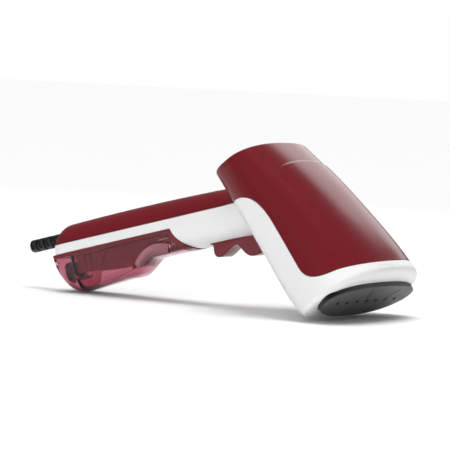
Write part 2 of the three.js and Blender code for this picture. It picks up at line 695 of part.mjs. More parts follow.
function routedPieces() {
  const nippleEnd = GENERATOR.back - 13 - GAP;
  const water = [
    fromGrip(PUMP.front + GAP, 0, PUMP.axis),
    fromGrip(PUMP.front + 6, 0, PUMP.axis),
    [-72, 0, 6],
    [-56, 0, 7],
    [nippleEnd - 6, 0, 4.3],
    [nippleEnd, 0, 4],
  ];
  const lead = (side) => [
    fromGrip(-144, 9 * side, 80),
    fromGrip(-120, 11.5 * side, 82),
    fromGrip(-95, 12 * side, 82),
    fromGrip(-64, 14 * side, 80),
    [-80, 20 * side, -2],
    [-56, 30 * side, 0],
    [GENERATOR.back - 12 - GAP, GENERATOR.legs * side, 0],
  ];
  return [
    piece('delivery_hose', tube(water, 2.4, 16), silicone),
    piece('heater_lead_1', tube(lead(-1), 1.3, 22, 6), rubber),
    piece('heater_lead_2', tube(lead(1), 1.3, 22, 6), rubber),
  ];
}

// ---- assembly -----------------------------------------------------------------------
const handle = new THREE.Group();
handle.rotation.y = GRIP_LEAN - Math.PI / 2;
handle.add(...gripShells(), ...gripScrews(), ...triggerPieces(), ...triggerFittings());
handle.add(...pumpPieces(), ...waterPath(), ...electronics(), ...cordFittings());
handle.add(...movingSmallPieces());
const tank = new THREE.Group();
tank.add(...tankMeshes(), fillerPlug(), valvePlunger());
handle.add(tank);

const steamer = new THREE.Group();
steamer.add(...shellPieces(), ...platePieces(), ...generatorPieces(), ...routedPieces(), handle);

function bounds(object) {
  steamer.updateMatrixWorld(true);
  return new THREE.Box3().setFromObject(object, true);
}

// The steamer lies on the bezel's lower edge and the tank's rear end. The tilt is found by
// halving the range until both touch the table at once.
const bezel = steamer.children.find((child) => child.name === 'front_bezel');
const plate = steamer.children.find((child) => child.name === 'plate_rim');
let [low, high] = [0.7, 1.1];
for (let i = 0; i < 24; i += 1) {
  steamer.rotation.y = (low + high) / 2;
  const headLow = Math.min(bounds(bezel).min.z, bounds(plate).min.z);
  if (headLow < bounds(tank).min.z) high = steamer.rotation.y;
  else low = steamer.rotation.y;
}

// The origin is on the table, under the middle of the whole object.
const box = bounds(steamer);
steamer.position.set(-(box.min.x + box.max.x) / 2, 0, -box.min.z);

const group = new THREE.Group();
group.add(steamer);
export default group;
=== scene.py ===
# A handheld garment steamer lying on a pale table.
# Shapes are modelled in millimetres in two frames that share the middle of the steam hole row:
#   head frame: X out of the steam plate, Z towards the top of the barrel
#   grip frame: X from the cord end towards the head, Z towards the back of the hand
# Each finished piece is then turned into the shared frame, in metres.
import json
import math

import bpy
import numpy as np
from mathutils import Matrix, Vector


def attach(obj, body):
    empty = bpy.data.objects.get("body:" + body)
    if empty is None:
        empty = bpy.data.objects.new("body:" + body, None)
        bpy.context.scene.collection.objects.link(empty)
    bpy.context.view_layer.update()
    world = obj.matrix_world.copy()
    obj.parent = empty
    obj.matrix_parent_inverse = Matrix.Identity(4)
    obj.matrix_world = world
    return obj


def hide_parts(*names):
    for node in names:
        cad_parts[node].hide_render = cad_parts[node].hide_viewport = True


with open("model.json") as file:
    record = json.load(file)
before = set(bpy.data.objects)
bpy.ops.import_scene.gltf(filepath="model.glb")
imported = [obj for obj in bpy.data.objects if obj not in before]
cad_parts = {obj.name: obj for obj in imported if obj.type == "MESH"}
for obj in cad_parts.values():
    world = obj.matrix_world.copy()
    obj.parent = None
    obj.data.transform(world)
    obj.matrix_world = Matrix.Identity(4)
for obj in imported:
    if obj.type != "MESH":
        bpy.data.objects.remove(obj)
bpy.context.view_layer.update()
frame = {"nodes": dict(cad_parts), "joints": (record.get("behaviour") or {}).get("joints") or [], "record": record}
record = frame["record"]

# ---- sizes, in millimetres -----------------------------------------------------------
MM = 0.001
GAP = 0.3
WALL = 2.2

BARREL_REAR = -118.4
BARREL_DOME = 1.6
RIM_ROUND = 1.1
WIDEST_LEVEL = -8
REAR_HALF_WIDTH = 48.5
FRONT_HALF_WIDTH = 60
CROWN_FRONT = 30.5
CROWN_DROP = 18.4
BELLY = -28
BELLY_RISE = 4.5
FRONT_ROUND = 4
SEAM_LEVEL = -20
REAR_SEAM = -24.5
BAND_REAR = -14

PLATE_HALF_WIDTH = 56.3
PLATE_TOP = 16.9
PLATE_BOTTOM = -17.4
PLATE_WIDEST = 3
PLATE_FRONT = 3.2
PLATE_MOUNT_LEVEL = 9
RIM_WIDTH = 2
RIM_FRONT = 2.45
HOLE_COUNT = 7
HOLE_PITCH = 13
HOLE_RADIUS = 1.7

GRIP_AXIS = 73
GRIP_HALF_WIDTH = 18.5
GRIP_BACK = 92
NECK_BOTTOM = 54.5
GRIP_REAR = -227
GRIP_FRONT = -54
END_ROUND = 11
COVER_LINE = 78.2
BAY_CEILING = 71.6
NECK_END_X, NECK_END_Z, NECK_END_RADIUS = -103, 78, 26
CORD_LEVEL = 82.7
GUARD_RADIUS = 4.5
GUARD_END = -255.5
GUARD_FRONT = -218
GUARD_BORE = 3
GUARD_ROUND = 1.2
GUARD_NECKS = (-249, -242.5, -236)
GUARD_SLOTS = (-252.3, -245.8, -239.3, -232.8)

TANK_REAR = -227.4
TANK_BOTTOM = 43.2
TANK_HALF_WIDTH = 17.8
TANK_WALL = 1.6
FLANGE_WIDTH = 4.2
THUMB_DENT_FACE = 10
TANK_BEND = -215.5
RIB_DEPTHS = (14.5, 16.8)
# distances from the middle plane of the deep red sheets that make the tank's upper rear darker
DARK_SHEET_DEPTHS = (13.4, 14.4)
REAR_CAP_START = -213
LID_BOTTOM = 68.7
FILLER_LEVEL = 58.5
FILLER_RADIUS = 6.6
FILLER_BORE = 5.1
FILLER_END = -224.8
VALVE_LEVEL = 64
PIVOT_X, PIVOT_Z = -63, 58.5
TRIGGER_HALF_WIDTH = 8.2
LIGHT_X = -98
SCREW_PLACES = (-138, -205)
SCREW_SEAT = 74
SCREW_BORE = 1.8
SCREW_HEAD_BORE = 3.1
SCREW_BOSS = 4.6
LENS_RADIUS = 2.9
LENS_SHOULDER = 90.6

SMOOTH_ANGLE = 32

# in metres
TABLE_LEVEL = -0.0006
TABLE_SIZE = 60

# ---- the two frames ------------------------------------------------------------------
mount = record["mounts"][0]
plate_normal = Vector(mount["axis"]).normalized()
head_up = Vector((-plate_normal.z, 0, plate_normal.x))
head_origin = (
    Vector(mount["pos_m"]) - plate_normal * PLATE_FRONT * MM - head_up * PLATE_MOUNT_LEVEL * MM
)
tank_slide = next(joint for joint in frame["joints"] if joint["name"] == "tank_slide")
grip_ahead = -Vector(tank_slide["axis"]).normalized()
grip_up = Vector((-grip_ahead.z, 0, grip_ahead.x))


def frame_matrix(ahead, up):
    turned = Matrix.Identity(4)
    for row in range(3):
        turned[row][0] = ahead[row]
        turned[row][2] = up[row]
        turned[row][3] = head_origin[row]
    return turned @ Matrix.Scale(MM, 4)


HEAD = frame_matrix(plate_normal, head_up)
GRIP = frame_matrix(grip_ahead, grip_up)
GRIP_IN_HEAD = HEAD.inverted() @ GRIP


# ---- modelling helpers ---------------------------------------------------------------
def deselect_all():
    for thing in bpy.context.selected_objects:
        thing.select_set(False)


def select_only(piece):
    deselect_all()
    piece.select_set(True)
    bpy.context.view_layer.objects.active = piece


def edit(piece):
    select_only(piece)
    bpy.ops.object.mode_set(mode="EDIT")
    bpy.ops.mesh.select_mode(type="VERT")
    bpy.ops.mesh.select_all(action="SELECT")


def leave_edit():
    bpy.ops.object.mode_set(mode="OBJECT")


def named(name):
    piece = bpy.context.object
    piece.name = name
    piece.data.name = name
    return piece


def laid_sheet(name, rows):
    """A grid primitive whose corners are put on rows of points."""
    points = np.asarray(rows, float)
    count_rows, count_columns = points.shape[:2]
    deselect_all()
    bpy.ops.mesh.primitive_grid_add(
        x_subdivisions=count_columns - 1, y_subdivisions=count_rows - 1, size=1
    )
    piece = named(name)
    piece.data.vertices.foreach_set("co", points.reshape(-1))
    piece.data.update()
    return piece


def closed_loft(name, rings):
    """A closed body through rings of points, with a flat cap over each end."""
    rings = [np.vstack([ring, ring[:1]]) for ring in rings]
    piece = laid_sheet(name, rings)
    edit(piece)
    bpy.ops.mesh.remove_doubles(threshold=0.001)
    bpy.ops.mesh.select_all(action="DESELECT")
    bpy.ops.mesh.select_non_manifold(extend=False)
    bpy.ops.mesh.edge_face_add()
    bpy.ops.mesh.select_all(action="SELECT")
    bpy.ops.mesh.normals_make_consistent(inside=False)
    leave_edit()
    return piece


def prism(name, outline, half_depth, across="Y"):
    """A flat outline filled and extruded to both sides of the midplane."""
    deselect_all()
    bpy.ops.mesh.primitive_circle_add(vertices=len(outline), radius=1, fill_type="NGON")
    piece = named(name)
    for vertex, (first, second) in zip(piece.data.vertices, outline):
        if across == "Y":
            vertex.co = (first, -half_depth, second)
        else:
            vertex.co = (-half_depth, first, second)
    push = (0, 2 * half_depth, 0) if across == "Y" else (2 * half_depth, 0, 0)
    edit(piece)
    bpy.ops.mesh.extrude_region_move(TRANSFORM_OT_translate={"value": push})
    bpy.ops.mesh.select_all(action="SELECT")
    bpy.ops.mesh.normals_make_consistent(inside=False)
    leave_edit()
    return piece


def settle(piece):
    select_only(piece)
    bpy.ops.object.transform_apply(location=True, rotation=True, scale=True)
    return piece


TURNS = {"X": (0, math.pi / 2, 0), "Y": (math.pi / 2, 0, 0), "Z": (0, 0, 0)}


def rod(axis, radius, start, end, first, second, sides=48, taper=1.0):
    """A straight round rod; first and second are its place on the other two axes."""
    middle = (start + end) / 2
    place = {
        "X": (middle, first, second),
        "Y": (first, middle, second),
        "Z": (first, second, middle),
    }[axis]
    deselect_all()
    bpy.ops.mesh.primitive_cone_add(
        vertices=sides, radius1=radius, radius2=radius * taper, depth=end - start,
        location=place, rotation=TURNS[axis],
    )
    return settle(named("rod"))


def bar(low, high):
    deselect_all()
    middle = [(a + b) / 2 for a, b in zip(low, high)]
    bpy.ops.mesh.primitive_cube_add(size=1, location=middle)
    piece = named("bar")
    piece.scale = [b - a for a, b in zip(low, high)]
    return settle(piece)


def spun(name, profile, y=0.0, z=0.0, steps=64):
    """A profile of (radius, x) pairs spun about a line along X."""
    deselect_all()
    bpy.ops.mesh.primitive_circle_add(vertices=len(profile), radius=1, fill_type="NOTHING")
    piece = named(name)
    for vertex, (radius, x) in zip(piece.data.vertices, profile):
        vertex.co = (x, y, z + radius)
    edit(piece)
    bpy.ops.mesh.spin(
        steps=steps, angle=2 * math.pi, center=(0, y, z), axis=(1, 0, 0), use_auto_merge=True
    )
    bpy.ops.mesh.select_all(action="SELECT")
    bpy.ops.mesh.remove_doubles(threshold=0.001)
    bpy.ops.mesh.normals_make_consistent(inside=False)
    leave_edit()
    return piece


def combine(piece, other, operation, keep=False):
    modifier = piece.modifiers.new("combine", "BOOLEAN")
    modifier.operation = operation
    modifier.solver = "EXACT"
    modifier.object = other
    select_only(piece)
    bpy.ops.object.modifier_apply(modifier="combine")
    if not keep:
        bpy.data.objects.remove(other)
    return piece


def cut(piece, *others, keep=False):
    for other in others:
        combine(piece, other, "DIFFERENCE", keep)
    return piece


def trim(piece, other, keep=False):
    return combine(piece, other, "INTERSECT", keep)


def join(piece, *others):
    for other in others:
        combine(piece, other, "UNION")
    return piece


def copy_of(piece, name):
    twin = piece.copy()
    twin.data = piece.data.copy()
    twin.name = name
    twin.data.name = name
    bpy.context.scene.collection.objects.link(twin)
    return twin


def round_edges(piece, width, segments=3, angle=40):
    modifier = piece.modifiers.new("round", "BEVEL")
    modifier.width = width
    modifier.segments = segments
    modifier.limit_method = "ANGLE"
    modifier.angle_limit = math.radians(angle)
    select_only(piece)
    bpy.ops.object.modifier_apply(modifier="round")
    return piece


def fit(piece, name, turn, body, material, nodes=()):
    """Names a finished piece, puts it in the shared frame and lets it ride on its body."""
    piece.name = name
    piece.data.name = name
    piece.matrix_world = turn
    settle(piece)
    bpy.ops.object.shade_smooth_by_angle(angle=math.radians(SMOOTH_ANGLE))
    piece.data.materials.clear()
    piece.data.materials.append(MATERIALS[material])
    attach(piece, body)
    if nodes:
        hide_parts(*nodes)
    return piece


def ease(value):
    value = np.clip(value, 0, 1)
    return value * value * (3 - 2 * value)


def signed_power(value, exponent):
    return np.sign(value) * np.abs(value) ** exponent


def curve(start, first, second, end, count=16):
    """Points along a cubic curve, without its start."""
    points = []
    for i in range(1, count + 1):
        t = i / count
        weights = ((1 - t) ** 3, 3 * t * (1 - t) ** 2, 3 * t * t * (1 - t), t ** 3)
        points.append(tuple(
            sum(w * p[k] for w, p in zip(weights, (start, first, second, end))) for k in (0, 1)
        ))
    return points


def superellipse(half_width, top, bottom, widest, upper, lower, count):
    """A closed outline evenly spaced by length, as y and z columns."""
    angle = np.linspace(0, 2 * math.pi, 16 * count + 1)
    wave = np.sin(angle)
    exponent = np.where(wave >= 0, 2 / upper, 2 / lower)
    reach = np.where(wave >= 0, top - widest, widest - bottom)
    y = half_width * signed_power(np.cos(angle), exponent)
    z = widest + reach * signed_power(wave, exponent)
    length = np.concatenate([[0], np.cumsum(np.hypot(np.diff(y), np.diff(z)))])
    even = np.linspace(0, length[-1], count, endpoint=False)
    return np.column_stack([np.interp(even, length, y), np.interp(even, length, z)])


# ---- finishes ------------------------------------------------------------------------
def value_node(tree, kind, place, **settings):
    node = tree.nodes.new(kind)
    node.location = place
    for key, value in settings.items():
        setattr(node, key, value)
    return node


def moulded_skin():
    """Fine peel, broad flow waves and a few handling smears of moulded plastic."""
    tree = bpy.data.node_groups.new("moulded_skin", "ShaderNodeTree")
    face = tree.interface
    for name, default in (
        ("Peel Scale", 900.0), ("Wave Scale", 60.0), ("Tone Spread", 0.06),
        ("Roughness", 0.25), ("Roughness Spread", 0.06),
    ):
        socket = face.new_socket(name=name, in_out="INPUT", socket_type="NodeSocketFloat")
        socket.default_value = default
    for name in ("Tone", "Roughness", "Height"):
        face.new_socket(name=name, in_out="OUTPUT", socket_type="NodeSocketFloat")
    links = tree.links
    entry = value_node(tree, "NodeGroupInput", (-900, 0))
    leave = value_node(tree, "NodeGroupOutput", (700, 0))
    where = value_node(tree, "ShaderNodeTexCoord", (-900, -250))
    peel = value_node(tree, "ShaderNodeTexNoise", (-600, 200))
    peel.inputs["Detail"].default_value = 2
    wave = value_node(tree, "ShaderNodeTexNoise", (-600, -50))
    wave.inputs["Detail"].default_value = 3
    smear = value_node(tree, "ShaderNodeTexNoise", (-600, -300))
    smear.inputs["Scale"].default_value = 28
    smear.inputs["Detail"].default_value = 5
    smear.inputs["Distortion"].default_value = 1.5
    for node in (peel, wave, smear):
        links.new(where.outputs["Object"], node.inputs["Vector"])
    links.new(entry.outputs["Peel Scale"], peel.inputs["Scale"])
    links.new(entry.outputs["Wave Scale"], wave.inputs["Scale"])
    centre = value_node(tree, "ShaderNodeMath", (-350, -50), operation="SUBTRACT")
    centre.inputs[1].default_value = 0.5
    links.new(wave.outputs["Fac"], centre.inputs[0])
    spread = value_node(tree, "ShaderNodeMath", (-150, -50), operation="MULTIPLY")
    links.new(centre.outputs[0], spread.inputs[0])
    links.new(entry.outputs["Tone Spread"], spread.inputs[1])
    tone = value_node(tree, "ShaderNodeMath", (50, -50), operation="ADD")
    tone.inputs[1].default_value = 1
    links.new(spread.outputs[0], tone.inputs[0])
    links.new(tone.outputs[0], leave.inputs["Tone"])
    smudge = value_node(tree, "ShaderNodeMath", (-350, -300), operation="SUBTRACT")
    smudge.inputs[1].default_value = 0.45
    links.new(smear.outputs["Fac"], smudge.inputs[0])
    scaled = value_node(tree, "ShaderNodeMath", (-150, -300), operation="MULTIPLY")
    links.new(smudge.outputs[0], scaled.inputs[0])
    links.new(entry.outputs["Roughness Spread"], scaled.inputs[1])
    rough = value_node(tree, "ShaderNodeMath", (50, -300), operation="ADD", use_clamp=True)
    links.new(scaled.outputs[0], rough.inputs[0])
    links.new(entry.outputs["Roughness"], rough.inputs[1])
    links.new(rough.outputs[0], leave.inputs["Roughness"])
    small = value_node(tree, "ShaderNodeMath", (-350, 200), operation="MULTIPLY")
    small.inputs[1].default_value = 0.12
    links.new(peel.outputs["Fac"], small.inputs[0])
    both = value_node(tree, "ShaderNodeMath", (-150, 200), operation="ADD")
    links.new(small.outputs[0], both.inputs[0])
    links.new(wave.outputs["Fac"], both.inputs[1])
    links.new(both.outputs[0], leave.inputs["Height"])
    return tree


SKIN = moulded_skin()


def toned(tree, tone, color, place):
    """A colour multiplied by the skin's tone."""
    mix = value_node(tree, "ShaderNodeMix", place, data_type="RGBA", blend_type="MULTIPLY")
    mix.inputs["Factor"].default_value = 1
    mix.inputs["A"].default_value = (*color, 1)
    tree.links.new(tone, mix.inputs["B"])
    return mix.outputs["Result"]


def finish(name, color, roughness, peel=900.0, waves=60.0, bump=0.02, depth=0.0004,
           tone=0.06, spread=0.06, **shader):
    """A moulded or metal finish; the rest are the shader's own sockets."""
    material = bpy.data.materials.new(name)
    material.use_nodes = True
    tree = material.node_tree
    surface = tree.nodes["Principled BSDF"]
    skin = value_node(tree, "ShaderNodeGroup", (-700, 0), node_tree=SKIN)
    for socket, value in (
        ("Peel Scale", peel), ("Wave Scale", waves), ("Tone Spread", tone),
        ("Roughness", roughness), ("Roughness Spread", spread),
    ):
        skin.inputs[socket].default_value = value
    tree.links.new(toned(tree, skin.outputs["Tone"], color, (-350, 200)),
                   surface.inputs["Base Color"])
    tree.links.new(skin.outputs["Roughness"], surface.inputs["Roughness"])
    relief = value_node(tree, "ShaderNodeBump", (-350, -250))
    relief.inputs["Strength"].default_value = bump
    relief.inputs["Distance"].default_value = depth
    tree.links.new(skin.outputs["Height"], relief.inputs["Height"])
    tree.links.new(relief.outputs["Normal"], surface.inputs["Normal"])
    for socket, value in shader.items():
        surface.inputs[socket.replace("_", " ")].default_value = value
    material.diffuse_color = (*color, 1)
    return material


MATERIALS = {
    "red_gloss": finish(
        "red_gloss", (0.16, 0.0085, 0.0145), 0.24, bump=0.02, tone=0.05, IOR=1.46,
    ),
    "white_gloss": finish(
        "white_gloss", (0.86, 0.86, 0.862), 0.34, bump=0.05, tone=0.015, IOR=1.48,
    ),
    "tank_red": finish(
        "tank_red", (0.66, 0.33, 0.4), 0.04, bump=0.03, tone=0.05, spread=0.04,
        Transmission_Weight=1.0, IOR=1.18, Coat_Weight=0.5, Coat_Roughness=0.05,
    ),
    "frosted_red": finish(
        "frosted_red", (0.8, 0.4, 0.46), 0.3, bump=0.05, tone=0.06,
        Transmission_Weight=0.75, IOR=1.3,
    ),
    "deep_red": finish(
        "deep_red", (0.5, 0.07, 0.1), 0.2, bump=0.03, tone=0.06,
        Transmission_Weight=0.4, IOR=1.15,
    ),
    "red_rubber": finish(
        "red_rubber", (0.07, 0.009, 0.013), 0.5, bump=0.1, tone=0.1,
    ),
    "lid_red": finish(
        "lid_red", (0.15, 0.008, 0.014), 0.24, bump=0.05, tone=0.06, IOR=1.46,
    ),
    "black_plastic": finish(
        "black_plastic", (0.004, 0.004, 0.0042), 0.4, peel=1600.0, bump=0.12, tone=0.2,
    ),
    "coated_plate": finish(
        "coated_plate", (0.1, 0.1, 0.102), 0.5, peel=2600.0, waves=160.0, bump=0.2,
        depth=0.0002, tone=0.12, spread=0.1, Metallic=0.2,
    ),
    "cast_metal": finish(
        "cast_metal", (0.45, 0.45, 0.46), 0.5, peel=1200.0, bump=0.35, tone=0.2, Metallic=1.0,
    ),
    "steel": finish(
        "steel", (0.6, 0.6, 0.61), 0.26, peel=1500.0, bump=0.08, tone=0.1, Metallic=1.0,
    ),
    "black_rubber": finish(
        "black_rubber", (0.009, 0.009, 0.0095), 0.45, peel=1400.0, waves=220.0, bump=0.3,
        tone=0.3, spread=0.1,
    ),
    "silicone": finish(
        "silicone", (0.93, 0.9, 0.9), 0.1, bump=0.05, tone=0.03, Transmission_Weight=1.0, IOR=1.06,
    ),
    "clear_lens": finish(
        "clear_lens", (0.85, 0.83, 0.78), 0.18, bump=0.03, Transmission_Weight=0.8, IOR=1.45,
    ),
    "grey_plastic": finish(
        "grey_plastic", (0.2, 0.2, 0.21), 0.45, bump=0.15, tone=0.12,
    ),
    "board": finish("board", (0.02, 0.13, 0.055), 0.35, waves=300.0, bump=0.2, tone=0.3),
    "winding": finish(
        "winding", (0.55, 0.22, 0.09), 0.32, waves=400.0, bump=0.4, tone=0.3, Metallic=0.9,
    ),
}

# The inner pieces, which keep their first shapes, take the same finishes.
for subpart in record["subparts"]:
    kept = frame["nodes"][subpart["node"]]
    kept.data.materials.clear()
    kept.data.materials.append(MATERIALS[subpart["material_slot"]])


# ---- barrel --------------------------------------------------------------------------
def barrel_sizes(x, inset):
    along = np.clip(1 - x / BARREL_REAR, 0, 1)
    back = max(0, (-x - 15) / (-BARREL_REAR - 15))
    front = max(0, 1 + x / 28)
    edge = min(FRONT_ROUND, max(0, x + FRONT_ROUND))
    turn = FRONT_ROUND - math.sqrt(FRONT_ROUND ** 2 - edge ** 2)
    half = REAR_HALF_WIDTH + (FRONT_HALF_WIDTH - REAR_HALF_WIDTH) * along ** 1.5
    return (
        half - inset - turn,
        CROWN_FRONT - CROWN_DROP * back ** 1.6 - inset - turn,
        BELLY + BELLY_RISE * front ** 2 + inset + turn * 0.4,
    )


PANEL_HALF_WIDTH = 36
PANEL_REAR = -99.4
PANEL_CORNER = 7
PANEL_HEIGHT = 0.75
PANEL_EDGE = 1.5


def panel_lift(x, y):
    """Height of the raised panel on the crown; it melts away towards the front."""
    rear = x - PANEL_REAR - 0.0026 * y * y
    side = PANEL_HALF_WIDTH - np.abs(y)
    corner = PANEL_CORNER - np.hypot(
        np.maximum(PANEL_CORNER - rear, 0), np.maximum(PANEL_CORNER - side, 0)
    )
    inside = np.where((rear < PANEL_CORNER) & (side < PANEL_CORNER), corner,
                      np.minimum(rear, side))
    fade = 1 - ease((x + 92) / 40)
    return PANEL_HEIGHT * ease(inside / PANEL_EDGE) * fade


def barrel_ring(x, inset, count, scale=1.0, depth=0.0):
    half, top, bottom = barrel_sizes(x, inset)
    squareness = 2.6 - 0.2 * (x / BARREL_REAR) ** 2
    flat = superellipse(half, top, bottom, WIDEST_LEVEL, squareness, 3, count)
    flat = (flat - (0, WIDEST_LEVEL)) * scale + (0, WIDEST_LEVEL)
    if inset == 0 and scale == 1:
        along = np.roll(flat, -1, 0) - np.roll(flat, 1, 0)
        out = np.column_stack([along[:, 1], -along[:, 0]])
        out /= np.linalg.norm(out, axis=1)[:, None]
        lift = np.where(flat[:, 1] > WIDEST_LEVEL, panel_lift(x, flat[:, 0]), 0)
        flat = flat + out * lift[:, None]
    return np.column_stack([np.full(count, x - depth), flat])


def barrel_outside():
    count = 288
    rings = []
    for k in (0.03, 0.2, 0.4, 0.6, 0.8, 0.92):
        rings.append(barrel_ring(BARREL_REAR, RIM_ROUND, count, k, BARREL_DOME * (1 - k * k)))
    for angle in (90, 72, 54, 36, 18, 0):
        a = math.radians(angle)
        x = BARREL_REAR + RIM_ROUND * (1 - math.sin(a))
        rings.append(barrel_ring(x, RIM_ROUND * (1 - math.cos(a)) + 1e-4, count))
    stations = np.concatenate([
        np.arange(BARREL_REAR + RIM_ROUND + 1.2, -106, 1.6), np.arange(-106, -90, 0.55),
        np.arange(-90, -4.1, 1.7), -4 * np.cos(np.radians(np.linspace(0, 90, 9))),
    ])
    for x in stations:
        rings.append(barrel_ring(min(x, 0), 0, count))
    return closed_loft("barrel_outside", rings)


def barrel_inside():
    stations = np.concatenate([np.linspace(BARREL_REAR + WALL, -4, 28), [-WALL]])
    rings = [barrel_ring(x, WALL, 128) for x in stations]
    return closed_loft("barrel_inside", rings)


def red_outline(grow):
    """Side view of the red shell, which rises over the white wings."""
    rear = BARREL_REAR - 12
    points = [(rear, REAR_SEAM - grow), (-94.5 + grow, REAR_SEAM - grow)]
    points.append((-93.5 + grow, -19.2 - grow))
    points += curve(points[-1], (-92 + grow, -8 - grow), (-84, -1.5 - grow),
                    (-60, -1.5 - grow), 28)
    points.append((-27, -1.2 - grow))
    points += curve(points[-1], (-18.5 + grow, -1 - grow), (-13.5 + grow, 5),
                    (-12 + grow, 16.5), 28)
    points += curve(points[-1], (-11.4 + grow, 21), (-9.3 + grow, 26), (-8 + grow, 30.5), 10)
    points += [(-7 + grow, 45), (rear, 45)]
    return points


def plate_outline(inset, count=176):
    return superellipse(
        PLATE_HALF_WIDTH - inset, PLATE_TOP - inset, PLATE_BOTTOM + inset, PLATE_WIDEST,
        2.4, 2.2, count,
    )


def plate_slab(name, inset, start, end):
    """The plate's outline extruded along the head's X axis."""
    slab = prism(name, plate_outline(inset), (end - start) / 2, across="X")
    slab.location.x = (start + end) / 2
    return settle(slab)


def barrel_pieces():
    skin = barrel_outside()
    cut(skin, barrel_inside())
    white = copy_of(skin, "barrel_white")
    trim(skin, prism("red_side", red_outline(0), 80))
    cut(white, prism("red_side", red_outline(GAP), 80))
    bezel = copy_of(white, "front_bezel")
    seam = SEAM_LEVEL + GAP / 2
    behind_band = prism("below_wings", [
        (-140, -60), (BAND_REAR, -60), (BAND_REAR, seam), (-93.5, seam), (-93.5, 60), (-140, 60),
    ], 90)
    cut(bezel, behind_band, plate_slab("plate_opening", -GAP, -6, 1))
    seam -= GAP
    underside = prism("underside", [
        (-140, -60), (BAND_REAR - GAP, -60), (BAND_REAR - GAP, seam), (-94, seam), (-94, 0),
        (-140, 0),
    ], 90)
    trim(white, underside)
    neck = grip_loft("neck_cutter", -GAP, 96, GRIP_FRONT + 6)
    neck.matrix_world = GRIP_IN_HEAD
    settle(neck)
    cut(white, neck)
    # a thin sunk line around a blank rectangle, just behind the crown's front edge
    mark = bar((-5.2, -17, 29), (-2.2, 1, 40))
    mark_inner = bar((-4.8, -16.5, 28), (-2.6, 0.5, 41))
    mark = cut(mark, mark_inner)
    sunk = closed_loft("sunk_skin", [
        barrel_ring(x, 0.3, 160) for x in (-8, -6, -5, -4, -3.4, -2.8, -2.2, -1.6)
    ])
    cut(mark, sunk)
    cut(bezel, mark)
    return skin, bezel, white


# ---- grip ----------------------------------------------------------------------------
def grip_sizes(x, inset):
    flare = 5 * ease((x + 88) / 26)
    crown = 1.4 * ((x + 165) / 75) ** 2
    to_end = max(0, GRIP_REAR + END_ROUND - x) / END_ROUND
    turn = END_ROUND - END_ROUND * math.sqrt(max(0, 1 - to_end ** 2))
    return (
        GRIP_HALF_WIDTH + flare - inset - turn * 0.35,
        GRIP_BACK - crown - inset - turn,
        NECK_BOTTOM + inset,
    )


def grip_ring(x, inset, count):
    half, top, bottom = grip_sizes(x, inset)
    flat = superellipse(half, top, bottom, GRIP_AXIS, 2.3, 2.3, count)
    return np.column_stack([np.full(count, x), flat])


def grip_loft(name, inset, count, front=GRIP_FRONT):
    rear = GRIP_REAR + max(0, inset)
    ends = rear + END_ROUND * (1 - np.cos(np.radians(np.linspace(0, 90, 13))))
    stations = np.concatenate([ends, np.arange(rear + END_ROUND + 3, front - 1, 3.0), [front]])
    return closed_loft(name, [grip_ring(x, inset, count) for x in stations])


def neck_arc(radius, start, end, count=24):
    """Side view of the bay's front wall, an arc about the end of the neck."""
    return [
        (NECK_END_X - radius * math.cos(a), NECK_END_Z - radius * math.sin(a))
        for a in np.linspace(start, end, count)
    ]


def bay(name, thicken):
    """The room under the grip that takes the tank."""
    radius = NECK_END_RADIUS - thicken
    ceiling = BAY_CEILING + thicken
    top = math.asin((NECK_END_Z - ceiling) / radius)
    bottom = math.asin((NECK_END_Z - NECK_BOTTOM + 2.5) / (NECK_END_RADIUS + 1))
    arc = neck_arc(radius, bottom, top)
    return prism(name, [(-260, ceiling), (-260, 20), (arc[0][0], 20), *arc], 60)


def grip_pieces():
    outer = grip_loft("grip_outside", 0, 192)
    inner = grip_loft("grip_inside", WALL, 96, GRIP_FRONT + 10)
    guard_hole = rod("X", GUARD_RADIUS + GAP, -235, -220, 0, CORD_LEVEL)
    cover = copy_of(outer, "cover")
    cut(cover, inner, keep=True)
    cut(cover, bar((-260, -60, 0), (-20, 60, COVER_LINE + GAP / 2)))
    cut(cover, guard_hole, keep=True)
    cut(cover, rod("Z", 3 + GAP, 80, 96, LIGHT_X, 0))
    body = outer
    cut(body, bay("bay", 0))
    cut(inner, bay("bay_inner", WALL))
    cut(body, inner)
    for x in SCREW_PLACES:
        join(body, rod("Z", SCREW_BOSS, BAY_CEILING + 0.5, 76, x, 0))
        cut(body, rod("Z", SCREW_BORE, BAY_CEILING - 3, 77, x, 0))
        cut(body, rod("Z", SCREW_HEAD_BORE, BAY_CEILING - 3, SCREW_SEAT, x, 0))
    slot_half = TRIGGER_HALF_WIDTH + 0.6
    slot = bar((-104.7, -slot_half, 47), (-57.7, slot_half, 59))
    round_edges(slot, 1.2)
    cut(body, slot)
    cut(body, rod("X", 4 + GAP, -136, -112, 0, VALVE_LEVEL))
    cut(body, bar((-260, -60, COVER_LINE - GAP / 2), (-20, 60, 120)))
    cut(body, guard_hole)
    cut(body, rod("Y", 1.8, -13.3, 13.3, PIVOT_X, PIVOT_Z))
    return body, cover


def trigger_outline():
    points = [(-102.8, 58.6), (-103.4, 50)]
    points += curve(points[-1], (-103.3, 47.2), (-101.8, 45.8), (-99, 45.8), 10)
    points += curve(points[-1], (-95, 45.8), (-89, 51.9), (-85, 51.6), 16)
    points += curve(points[-1], (-81.5, 51.2), (-80.5, 41.8), (-73, 41.8), 18)
    points += curve(points[-1], (-66, 42), (-61.5, 43.8), (-60, 48), 10)
    points.append((-59.6, 58))
    points += curve(points[-1], (-59.9, 60.8), (-61, 62), (-64, 62), 8)
    return points


def trigger_piece():
    lever = prism("lever", trigger_outline(), TRIGGER_HALF_WIDTH)
    round_edges(lever, 1.3, 4, 55)
    cut(lever, rod("Z", 3.2, 54.6, 66, -80, 0))
    cut(lever, rod("Y", 1.5 + GAP, -15, 15, PIVOT_X, PIVOT_Z))
    return lever


